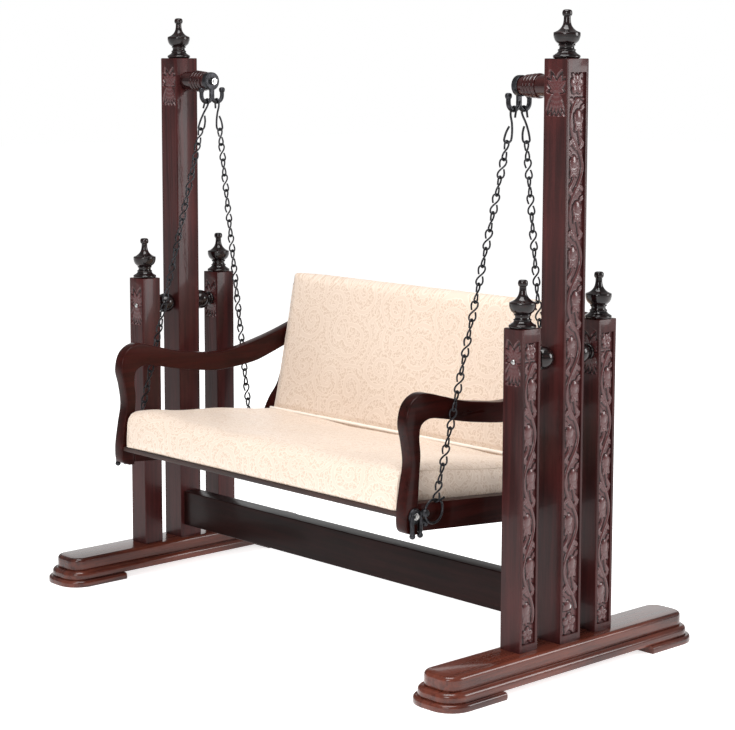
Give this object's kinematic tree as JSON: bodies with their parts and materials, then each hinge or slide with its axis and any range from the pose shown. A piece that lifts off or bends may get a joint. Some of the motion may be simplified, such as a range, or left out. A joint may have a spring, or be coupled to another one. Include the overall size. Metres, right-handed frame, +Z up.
{
  "type": "jhoola swing",
  "caption": "Cushioned two-seat bench with scrolled wooden arms, hung on S-link chains from bosses on tall carved posts that stand on moulded feet, with a stretcher between.",
  "frame": {"origin": "on the floor at the middle of the stand, under the pivots' line", "axes": "+X along the bench to its right side as seen from the front, +Y from front to back, +Z up"},
  "size_m": [1.948, 1.076, 1.885],
  "materials": {
    "dark_wood": "glossy dark mahogany lacquer",
    "turned_wood": "glossy black-brown lacquer",
    "plywood": "stained plywood, satin",
    "brocade": "cream scroll brocade with a satin ground",
    "black_iron": "blackened iron, satin",
    "zinc": "bright zinc plate"
  },
  "bodies": {
    "stand": {"left_foot_top": "dark_wood", "left_foot_middle": "dark_wood", "left_front_pad": "dark_wood", "left_rear_pad": "dark_wood", "left_tall_post": "dark_wood", "left_front_post": "dark_wood", "left_rear_post": "dark_wood", "right_foot_top": "dark_wood", "right_foot_middle": "dark_wood", "right_front_pad": "dark_wood", "right_rear_pad": "dark_wood", "right_tall_post": "dark_wood", "right_front_post": "dark_wood", "right_rear_post": "dark_wood", "finials": "turned_wood", "spindles": "turned_wood", "bosses": "turned_wood", "stretcher": "dark_wood", "pivot_bolts": "zinc", "pivot_nuts": "zinc"},
    "swing": {"left_double_hook": "black_iron", "left_top_hooks": "black_iron", "left_front_chain": "black_iron", "left_rear_chain": "black_iron", "left_rings": "black_iron", "right_double_hook": "black_iron", "right_top_hooks": "black_iron", "right_front_chain": "black_iron", "right_rear_chain": "black_iron", "right_rings": "black_iron", "corner_fittings": "black_iron", "left_arm": "dark_wood", "left_side_rail": "dark_wood", "left_back_post": "dark_wood", "right_arm": "dark_wood", "right_side_rail": "dark_wood", "right_back_post": "dark_wood", "seat_board": "plywood", "seat_battens": "dark_wood", "back_panel": "plywood", "back_lower_rail": "dark_wood", "back_top_rail": "dark_wood", "seat_cushion": "brocade", "back_cushion": "brocade"}
  },
  "joints": [
    {"name": "swing_to_and_fro", "type": "hinge", "parent": "stand", "child": "swing", "pos_m": [0, 0, 1.673], "axis": [1, 0, 0], "range_deg": [-25, 25]}
  ]
}
